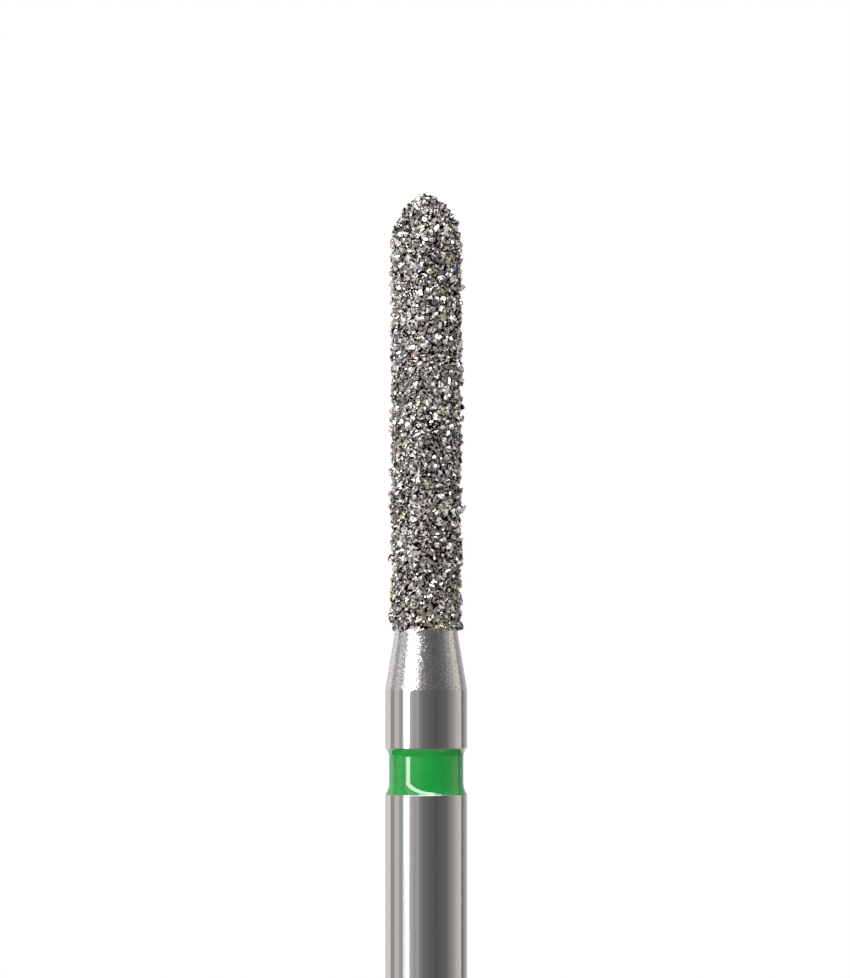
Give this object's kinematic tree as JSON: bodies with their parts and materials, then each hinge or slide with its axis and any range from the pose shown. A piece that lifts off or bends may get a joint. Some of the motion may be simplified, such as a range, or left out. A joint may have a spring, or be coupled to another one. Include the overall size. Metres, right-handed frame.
{
  "type": "dental bur",
  "caption": "Coarse diamond dental bur: pointed torpedo head, tapered neck, green colour ring and straight friction-grip shank.",
  "frame": {"origin": "centre of the shank's end face", "axes": "+Z along the axis of rotation, from the shank's end to the tip; X and Y across the axis, with no direction of their own"},
  "size_m": [0.0016, 0.0016, 0.021],
  "materials": {
    "stainless_steel": "ground and polished on shank and collar, fine-blasted matte on the neck cone",
    "diamond_grit": "coarse grey diamond crystals held in matte nickel plating",
    "green_lacquer": "glossy green lacquer"
  },
  "bodies": {
    "root": {"steel_blank": "stainless_steel", "diamond_coating": "diamond_grit", "colour_ring": "green_lacquer"}
  },
  "joints": []
}
